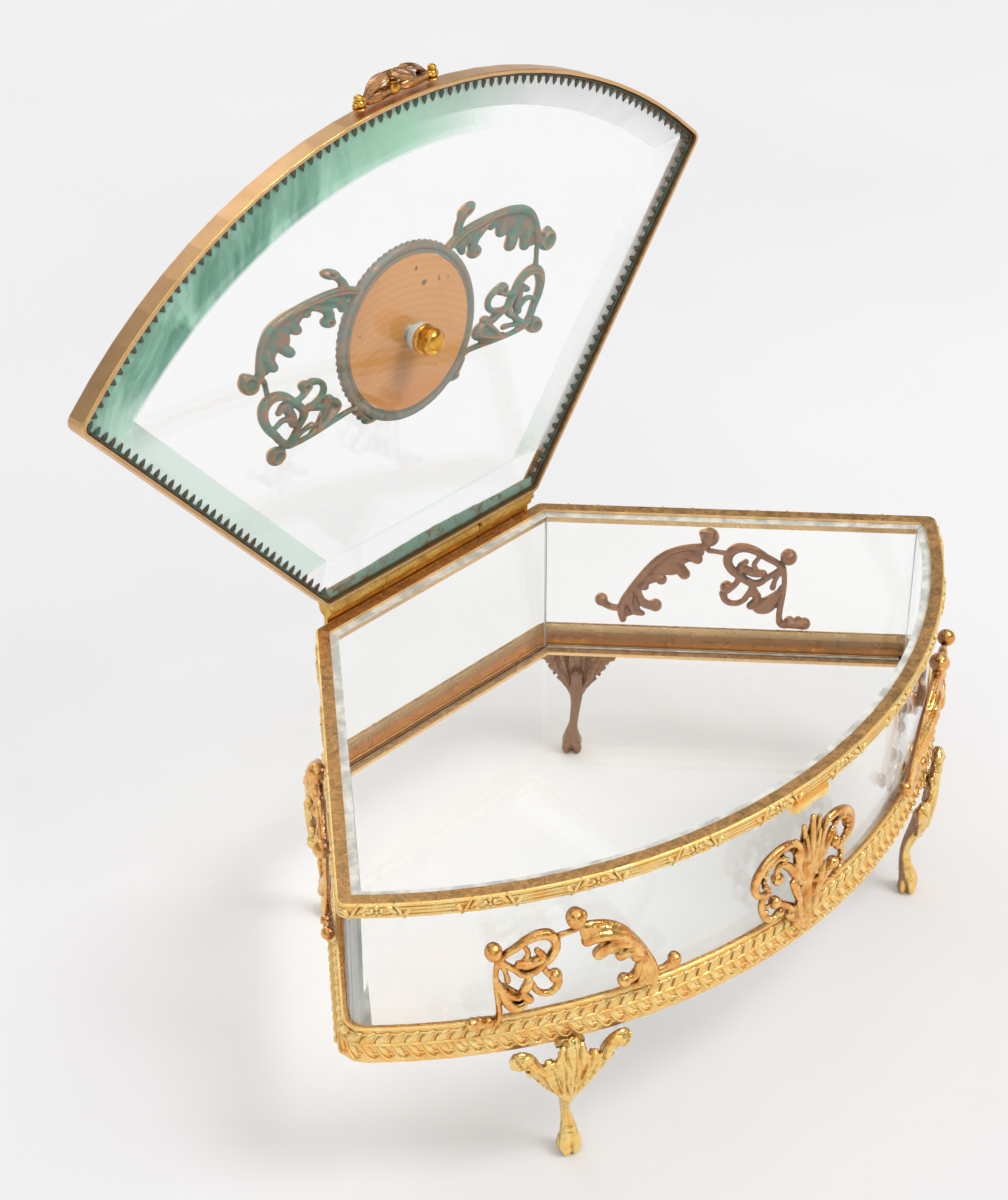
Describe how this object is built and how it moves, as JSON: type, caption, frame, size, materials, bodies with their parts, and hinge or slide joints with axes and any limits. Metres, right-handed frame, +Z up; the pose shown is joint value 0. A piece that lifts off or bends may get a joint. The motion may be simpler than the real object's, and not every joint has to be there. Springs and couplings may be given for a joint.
{
  "type": "glass casket box",
  "caption": "Fan-shaped glass casket with gilt brass frames, cast scroll mounts and hoofed feet, and a hinged bevelled glass lid held by a front clasp.",
  "frame": {"origin": "on the standing plane, at mid width and mid depth of the upper rim's outline", "axes": "+Z up, +X to the right seen from the bowed front, +Y towards the hinge at the straight back"},
  "size_m": [0.2192, 0.1454, 0.2237],
  "materials": {
    "lower_frame": "fire-gilt, stamped",
    "bottom_glass": "clear, faint green at the edges",
    "back_glass": "clear, faint green at the edges",
    "left_glass": "clear, faint green at the edges",
    "right_glass": "clear, faint green at the edges",
    "front_glass": "clear, faint green at the edges",
    "upper_rim": "fire-gilt, stamped",
    "catch_lip": "fire-gilt, stamped",
    "front_left_foot": "fire-gilt, stamped",
    "front_right_foot": "fire-gilt, stamped",
    "back_left_foot": "fire-gilt, stamped",
    "back_right_foot": "fire-gilt, stamped",
    "foot_rivets": "fire-gilt, stamped",
    "front_left_arch": "cast, orange gilding",
    "front_right_arch": "cast, orange gilding",
    "left_arch": "cast, orange gilding",
    "right_arch": "cast, orange gilding",
    "palmette": "cast, orange gilding",
    "hinge_leaf_body": "fire-gilt, stamped",
    "hinge_pin": "worn copper-brown gilding",
    "hinge_leaf_lid": "fire-gilt, stamped",
    "lid_frame": "worn copper-brown gilding",
    "lid_glass": "clear, faint green at the edges",
    "lid_teeth": "dark, verdigris",
    "medallion_rim": "fire-gilt, stamped",
    "medallion_plate": "worn copper-brown gilding",
    "medallion_plaque": "fire-gilt, stamped",
    "medallion_stud": "worn copper-brown gilding",
    "medallion_washer": "pale",
    "medallion_nut": "fire-gilt, stamped",
    "left_wing": "worn copper-brown gilding",
    "right_wing": "worn copper-brown gilding",
    "clasp_posts": "fire-gilt, stamped",
    "clasp_bar": "worn copper-brown gilding",
    "clasp_lever": "worn copper-brown gilding"
  },
  "bodies": {
    "case": {"lower_frame": "lower_frame", "bottom_glass": "bottom_glass", "back_glass": "back_glass", "left_glass": "left_glass", "right_glass": "right_glass", "front_glass": "front_glass", "upper_rim": "upper_rim", "catch_lip": "catch_lip", "front_left_foot": "front_left_foot", "front_right_foot": "front_right_foot", "back_left_foot": "back_left_foot", "back_right_foot": "back_right_foot", "foot_rivets": "foot_rivets", "front_left_arch": "front_left_arch", "front_right_arch": "front_right_arch", "left_arch": "left_arch", "right_arch": "right_arch", "palmette": "palmette", "hinge_leaf_body": "hinge_leaf_body", "hinge_pin": "hinge_pin"},
    "lid": {"hinge_leaf_lid": "hinge_leaf_lid", "lid_frame": "lid_frame", "lid_glass": "lid_glass", "lid_teeth": "lid_teeth", "medallion_rim": "medallion_rim", "medallion_plate": "medallion_plate", "medallion_plaque": "medallion_plaque", "medallion_stud": "medallion_stud", "medallion_washer": "medallion_washer", "medallion_nut": "medallion_nut", "left_wing": "left_wing", "right_wing": "right_wing", "clasp_posts": "clasp_posts", "clasp_bar": "clasp_bar"},
    "clasp": {"clasp_lever": "clasp_lever"}
  },
  "joints": [
    {"name": "lid_hinge", "type": "hinge", "parent": "case", "child": "lid", "pos_m": [0, 0.0658, 0.08945], "axis": [1, 0, 0], "range_deg": [0, 93.4]},
    {"name": "clasp_pivot", "type": "hinge", "parent": "lid", "child": "clasp", "pos_m": [0, 0.07397, 0.21859], "axis": [-1, 0, 0], "range_deg": [0, 40]}
  ]
}
